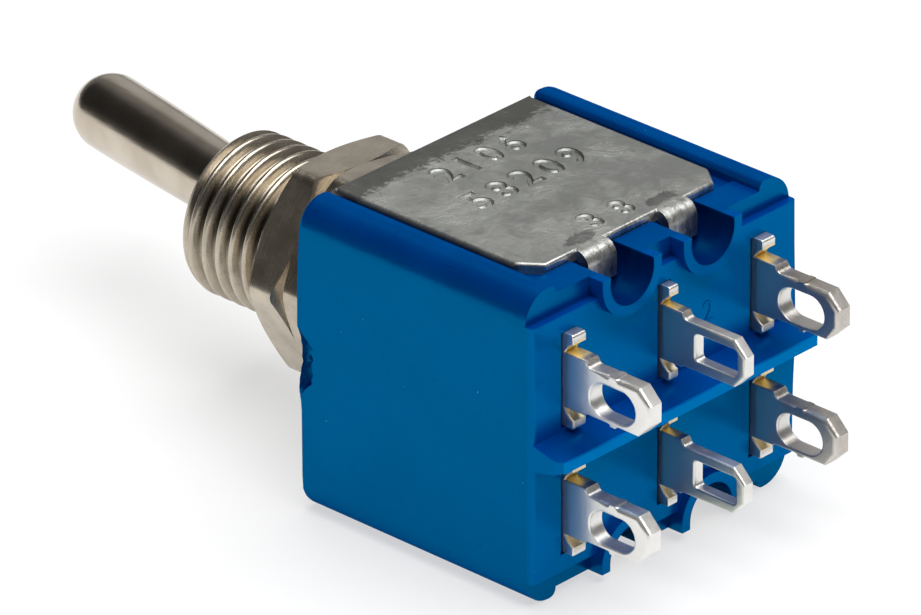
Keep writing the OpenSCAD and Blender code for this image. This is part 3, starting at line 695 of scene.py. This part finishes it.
def gate_scar():
    """A lumpy bite that a broken gate left in the near front edge, and the worn edge below it."""
    profile = ((1.15, 0.02, 0.05), (0.95, 0.10, 0.25), (0.75, 0.15, 0.50), (0.55, 0.19, 0.62),
               (0.35, 0.22, 0.66), (0.15, 0.26, 0.74), (-0.05, 0.24, 0.70), (-0.25, 0.28, 0.74),
               (-0.45, 0.20, 0.70), (-0.65, 0.14, 0.66), (-0.82, 0.10, 0.58), (-0.98, 0.08, 0.46),
               (-1.15, 0.07, 0.30), (-1.35, 0.08, 0.18), (-1.7, 0.14, 0.15), (-2.0, 0.17, 0.17),
               (-4.9, 0.17, 0.17), (-5.6, 0.02, 0.02))

    def bite(z, inward, back):
        rough = 0.15 if -1.1 < z < 0.9 else 0.04

        def radius(a):
            oval = math.hypot(inward * math.cos(a), back * math.sin(a))
            return oval * (1 + rough * math.sin(5 * a + 11 * z) * math.cos(7 * z - 3 * a + 1))
        return z, radius
    rings = [bite(*each) for each in profile]
    rings = [(profile[0][0] + 0.02, 0.0)] + rings + [(profile[-1][0] - 0.02, 0.0)]
    return turned("gate_scar", rings, 32, (CASE_HALF_W, 0, 0), (0, 0, 1), closed=False)


def slot_ledges():
    """Floors of the narrow slots beside the lugs, a little under the block's face."""
    gap, under = 0.05, 0.09
    size = Vector((0.16, 0.5, 3.58))
    bm = bmesh.new()
    for row in (-1, 1):
        for x, thick in LUGS.values():
            centre = Vector((x + thick / 2 + gap + size.x / 2, BLOCK_Y - under - size.y / 2, row * ROW_Z))
            bmesh.ops.create_cube(bm, size=1.0, matrix=Matrix.Translation(centre * MM)
                                  @ Matrix.Diagonal((*(size * MM), 1.0)))
    return add_object("slot_ledges", mesh_of(bm, "slot_ledges"))


def joined(piece, *others):
    """Adds other pieces' meshes to a piece."""
    bm = bmesh.new()
    for each in (piece, *others):
        bm.from_mesh(each.data)
    bm.to_mesh(piece.data)
    bm.free()
    for each in others:
        bpy.data.objects.remove(each)
    return piece


def make_case():
    """The moulding: rail corners, block ends and front corners well rounded, other edges less."""
    mark_x, mark_z = -2.1, 2.2
    piece = cad_copy("case_body", "body_moulding")
    rounded_where(piece, 0.28, lambda x, y, z, along: near(x, BED_HALF) and near(z, CASE_HALF_H)
                  and along == "Y")
    rounded_where(piece, 0.17, lambda x, y, z, along: near(x, CASE_HALF_W) and near(y, BLOCK_Y)
                  and along == "Z")
    rounded_where(piece, 0.24, lambda x, y, z, along: near(y, 0) and (
        (abs(z) > 5.55 and abs(x) > 5.0) or (abs(x) > 5.3 and abs(z) > 4.7)))
    rounded(piece, 0.09)
    cut_away(piece, gate_scar())
    facing_rear = Matrix(((-1, 0, 0), (0, 0, 1), (0, 1, 0))).to_4x4()
    place = Matrix.Translation(Vector((mark_x, BLOCK_Y, mark_z)) * MM) @ facing_rear
    joined(piece, slot_ledges(), glyph("2", height=0.85, depth=0.03, bold=0.0, place=place))
    for vert in piece.data.vertices:
        vert.co.x = max(-CASE_HALF_W * MM, min(CASE_HALF_W * MM, vert.co.x))
    smooth(piece, 40)
    dress(piece, "switch_body", "case_body")


def glyph(character, height, depth, bold, place):
    """One plain character as a slab with sloped sides, half of it on each side of its plane."""
    size_for_height = 1.4
    curve = bpy.data.curves.new("glyph", "FONT")
    curve.body, curve.size = character, height * MM * size_for_height
    curve.align_x, curve.align_y = "CENTER", "CENTER"
    curve.extrude, curve.bevel_depth, curve.bevel_resolution = depth * 0.4 * MM, depth * 0.6 * MM, 0
    curve.offset, curve.resolution_u = (bold - depth * 0.6) * MM, 3
    piece = baked(add_object("glyph", curve))
    piece.data.transform(place)
    bm = bmesh.new()
    bm.from_mesh(piece.data)
    bmesh.ops.remove_doubles(bm, verts=bm.verts, dist=0.001 * MM)
    bmesh.ops.recalc_face_normals(bm, faces=bm.faces)
    bm.to_mesh(piece.data)
    bm.free()
    return piece


# Plain characters stamped into the upper leg: text, x and y of its first one, pitch, height
STAMPS = (("2106", 1.56, 2.26, 1.07, 1.14), ("58209", 2.22, 4.38, 1.16, 1.20),
          ("3", 0.72, 8.12, 0.0, 1.0), ("8", -0.65, 8.21, 0.0, 1.0))


def stamps():
    """Cutter for all stamped characters, read from the lug side."""
    half_turn = Matrix.Rotation(math.pi, 4, "Z")
    marks = []
    for text, first, y, pitch, height in STAMPS:
        for i, character in enumerate(text):
            place = Matrix.Translation(Vector((first - i * pitch, y, BED_Z + SHEET_T)) * MM) @ half_turn
            marks.append(glyph(character, height, depth=0.10, bold=0.055, place=place))
    return joined(marks[0], *marks[1:])


def make_bracket():
    """The folded sheet: the legs' long and rear edges well rounded, other edges less."""
    piece = cad_copy("bracket", "bracket_sheet")
    rounded_where(piece, 0.2, lambda x, y, z, along: near(x, LEG_HALF_W) and near(z, BED_Z + SHEET_T)
                  and along == "Y")
    rounded_where(piece, 0.11, lambda x, y, z, along: 8.0 < y < 9.25 and abs(z) > BED_Z + 0.2
                  and along != "Z")
    rounded(piece, 0.07)
    cut_away(piece, stamps())
    smooth(piece, 35)
    dress(piece, "switch_body", "bracket")


# ----------------------------------------------------------------------- lugs

EAR_END, EAR_HALF = BLOCK_Y + 0.42, 1.76
SHOULDER, BLADE_LOW, BLADE_HIGH = 1.03, -0.96, 0.80

# Holes of the end lugs and of the common ones: centre along and up, length, height
EYE = (12.95, -0.19, 2.0, 1.24)
SLOT = (13.29, -0.06, 1.86, 1.02)


def lug_outline(common):
    """Corner points of a lug outside the block: lower edge, tip and upper edge, anticlockwise."""
    chamfer, ear_r = 0.52, 0.10

    def ear(side):
        """From the block round an ear to the notch beside the shoulder."""
        return ([(BLOCK_Y - 0.3, side * EAR_HALF)]
                + [(y, side * z) for y, z in arc(EAR_END - ear_r, EAR_HALF - ear_r, ear_r, 90, 0, 3)]
                + [(EAR_END, side * 1.42), (EAR_END - 0.12, side * 1.36), (EAR_END - 0.24, side * 1.25),
                   (EAR_END - 0.33, side * 1.13), (EAR_END - 0.38, side * (SHOULDER + 0.01))])

    def nub(z, out):
        """A small lump on a blade's edge beside the eye, which the common lugs don't have."""
        if common:
            return []
        return [(EYE[0] + dy, z + dz) for dy, dz in
                ((-0.24, 0), (-0.13, 0), (-0.11, out), (0.11, out), (0.13, 0), (0.24, 0))]

    lower = ear(-1) + [(BLOCK_Y + 0.93, -SHOULDER), (BLOCK_Y + 1.02, BLADE_LOW)] + nub(BLADE_LOW, -0.08)
    tip = [(LUG_END - chamfer, BLADE_LOW), (LUG_END, BLADE_LOW + chamfer),
           (LUG_END, BLADE_HIGH - chamfer), (LUG_END - chamfer, BLADE_HIGH)]
    fillet = arc(BLOCK_Y + 1.22, BLADE_HIGH + 0.2, 0.2, 270, 195, 5)
    return (lower + tip + nub(BLADE_HIGH, 0.03)[::-1] + fillet + [(BLOCK_Y + 0.95, SHOULDER)]
            + ear(1)[::-1])


def hole_outline(common):
    """The hole's outline, clockwise: round-ended in the end lugs, square in the common ones."""
    y, z, length, height = SLOT if common else EYE
    if common:
        r = 0.16
        corners = ((1, 1, 0), (-1, 1, 90), (-1, -1, 180), (1, -1, 270))
        points = [p for sx, sz, a in corners
                  for p in arc(y + sx * (length / 2 - r), z + sz * (height / 2 - r), r, a, a + 90, 4)]
    else:
        run = (length - height) / 2
        points = (arc(y + run, z, height / 2, -90, 90, 20) + arc(y - run, z, height / 2, 90, 270, 20))
    return points[::-1]


def near_roll(y, z, common, in_hole):
    """Radius of the roll on the near edge at a point of an outline."""
    if in_hole:
        return 0.08 if common or z > -0.5 else 0.05
    if y < BLOCK_Y + 1.25:
        return 0.06
    if not common and abs(y - EYE[0]) < 0.2:
        return 0.03
    return (0.13 if z > -0.5 else 0.10) if common else (0.20 if z > -0.5 else 0.07)


def wall_wear(x, y, z, in_hole):
    """How dull the walls between the two faces are: least at the tip, more on the far lugs."""
    far = x < -1
    if in_hole:
        return 0.3 if far else 0.1
    if abs(z) > EAR_HALF - 0.2:
        return 0.12
    if y > LUG_END - 0.56:
        return 0.55 if far else 0.12
    return 1.0 if far or y < BLOCK_Y + 1.0 else 0.6


def inset_vectors(points):
    """How each corner of a closed outline moves for one unit of inset to its left."""
    moves = []
    for before, here, after in zip(points[-1:] + points[:-1], points, points[1:] + points[:1]):
        normals = []
        for a, b in ((before, here), (here, after)):
            run = Vector((b[0] - a[0], b[1] - a[1])).normalized()
            normals.append(Vector((-run.y, run.x)))
        total = normals[0] + normals[1]
        moves.append(total / max(0.5, 1.0 + normals[0].dot(normals[1])))
    return moves


def root_of(node):
    """The part of a terminal inside the block, as its CAD mesh has it."""
    bm = bmesh.new()
    bm.from_mesh(NODES[node].data)
    bmesh.ops.remove_doubles(bm, verts=bm.verts, dist=0.002 * MM)
    cut = bmesh.ops.bisect_plane(bm, geom=bm.verts[:] + bm.edges[:] + bm.faces[:],
                                 plane_co=(0, (BLOCK_Y - 0.3) * MM, 0), plane_no=(0, 1, 0), clear_outer=True)
    bmesh.ops.edgenet_fill(bm, edges=[e for e in cut["geom_cut"] if isinstance(e, bmesh.types.BMEdge)])
    return bm


def make_lug(node, x, z, thick, common):
    """A stamped lug: its outline and hole given thickness, with a wide roll on the near edges
    and a narrow one on the far edges. The attribute sheared is 1 on the walls between them."""
    far_roll, steps = 0.05, 5
    bm = root_of(node)
    sheared = bm.verts.layers.float.new("sheared")
    caps = ([], [])
    for points, in_hole in ((lug_outline(common), False), (hole_outline(common), True)):
        moves = inset_vectors(points)
        levels = []
        far_to_near = [(-1, i) for i in range(steps + 1)] + [(1, steps - i) for i in range(steps + 1)]
        for side, step in far_to_near:
            a = math.pi / 2 * step / steps
            level = []
            for (y, v), move in zip(points, moves):
                roll = near_roll(y, v, common, in_hole) if side > 0 else far_roll
                inset = roll * (1 - math.sin(a))
                at_x = side * (thick / 2 - roll * (1 - math.cos(a)))
                vert = bm.verts.new(Vector((x + at_x, y + move.x * inset, z + v + move.y * inset)) * MM)
                vert[sheared] = math.sin(a) ** 3 * wall_wear(x, y, v, in_hole)
                level.append(vert)
            levels.append(level)
        for lower, upper in zip(levels, levels[1:]):
            for i in range(len(lower)):
                j = (i + 1) % len(lower)
                bm.faces.new((lower[i], lower[j], upper[j], upper[i]))
        for cap, level in zip(caps, (levels[0], levels[-1])):
            cap += [bm.edges.get((a, b)) for a, b in zip(level, level[1:] + level[:1])]
    for cap in caps:
        bmesh.ops.triangle_fill(bm, use_beauty=True, edges=cap)
    bmesh.ops.recalc_face_normals(bm, faces=bm.faces)
    piece = add_object(node + "_piece", mesh_of(bm, node + "_piece"))
    smooth(piece, 35)
    dress(piece, "switch_body", node)


# ------------------------------------------------------------- build the part

make_bushing()
make_nut("nut_outer_hex", "nut_outer", start=3.17, turn_deg=2.5)
make_nut("nut_inner_hex", "nut_inner", start=1.6, turn_deg=7.0)
make_lever()
make_case()
make_bracket()
for row, z in (("upper", ROW_Z), ("lower", -ROW_Z)):
    for column, (x, thick) in LUGS.items():
        make_lug(f"terminal_{row}_{column}", x, z, thick, column == "common")
for node, cad in NODES.items():
    if not cad.hide_render:
        cad.data.materials.clear()
        cad.data.materials.append(MATERIALS[SLOT_OF[node]])


# ------------------------------------------------------------ studio and camera

def make_floor():
    """White paper, part of which reads as plain white to the camera and to polished metal."""
    viewed_glow = 0.6
    bm = bmesh.new()
    bmesh.ops.create_grid(bm, x_segments=2, y_segments=2, size=1.5)
    floor = add_object("floor", mesh_of(bm, "floor"))
    floor.location = (0, 0, cad_low.z)

    def paper(g):
        mottle = g.noise(g.place(), 30.0)
        return {"Base_Color": g.mix(mottle, grey(0.90), grey(0.92)), "Roughness": 0.9}

    material = new_material("white_paper", paper)
    graph = Graph(material.node_tree)
    seen = (graph.node("ShaderNodeLightPath", out="Is Camera Ray")
            + graph.node("ShaderNodeLightPath", out="Is Glossy Ray"))
    glow = graph.node("ShaderNodeEmission", {}, {"Color": grey(1.0), "Strength": 1.0})
    lay_over(graph, graph.find("BSDF_PRINCIPLED"), glow, seen * viewed_glow)
    floor.data.materials.append(material)


def make_lamp(name, size, power, location):
    """A square lamp that points at the origin."""
    lamp = bpy.data.lights.new(name, "AREA")
    lamp.shape, lamp.size, lamp.energy = "SQUARE", size, power
    holder = add_object(name, lamp)
    holder.location = location
    holder.rotation_euler = (-Vector(location)).to_track_quat("-Z", "Y").to_euler()


def make_world():
    """A soft grey room with one light and two dark stretches, which shows plain white to the camera."""
    world = bpy.data.worlds.new("studio")
    bpy.context.scene.world = world
    world.use_nodes = True
    g = Graph(world.node_tree)
    background = g.find("BACKGROUND")
    direction = g.node("ShaderNodeTexCoord", out="Generated")

    def facing(*way):
        return g.node("ShaderNodeVectorMath", {"operation": "DOT_PRODUCT"},
                      {0: direction, 1: tuple(Vector(way).normalized())}, out="Value")

    level = 0.17 - facing(0.25, -0.83, 0.5).above(0.78, 0.96) * 0.15
    level = level + facing(-0.70, -0.61, 0.37).above(0.94, 0.99) * 0.33
    level = level - facing(0.48, 0.80, 0.34).above(0.80, 0.95) * 0.13
    seen = g.node("ShaderNodeLightPath", out="Is Camera Ray")
    colour = g.mix(seen, g.mix(level, grey(0.0), grey(1.0)), grey(1.0))
    g.link(colour, background.inputs["Color"])
    background.inputs["Strength"].default_value = 1.0


def make_camera():
    """Camera by its direction, distance and small pan and roll."""
    azimuth, elevation, roll = map(math.radians, (133.21, 27.306, -0.257))
    distance, pan_right, pan_up, lens = 372.048, 1.020, -0.534, 426.546
    back = Vector((math.sin(azimuth) * math.cos(elevation),
                   -math.cos(azimuth) * math.cos(elevation), math.sin(elevation)))
    level = Vector((math.cos(azimuth), math.sin(azimuth), 0))
    rise = back.cross(level)
    right = level * math.cos(roll) + rise * math.sin(roll)
    up = rise * math.cos(roll) - level * math.sin(roll)
    camera = bpy.data.cameras.new("camera")
    camera.lens, camera.sensor_width = lens, 36.0
    camera.clip_start, camera.clip_end = 0.01, 20.0
    holder = add_object("camera", camera)
    place = (back * distance + right * pan_right + up * pan_up) * MM
    holder.matrix_world = Matrix((
        (right.x, up.x, back.x, place.x), (right.y, up.y, back.y, place.y),
        (right.z, up.z, back.z, place.z), (0, 0, 0, 1)))
    bpy.context.scene.camera = holder


make_floor()
make_lamp("softbox_overhead", 0.7, 6.2, (-0.05, 0.10, 0.60))
make_world()
make_camera()
bpy.context.scene.view_settings.view_transform = "Standard"
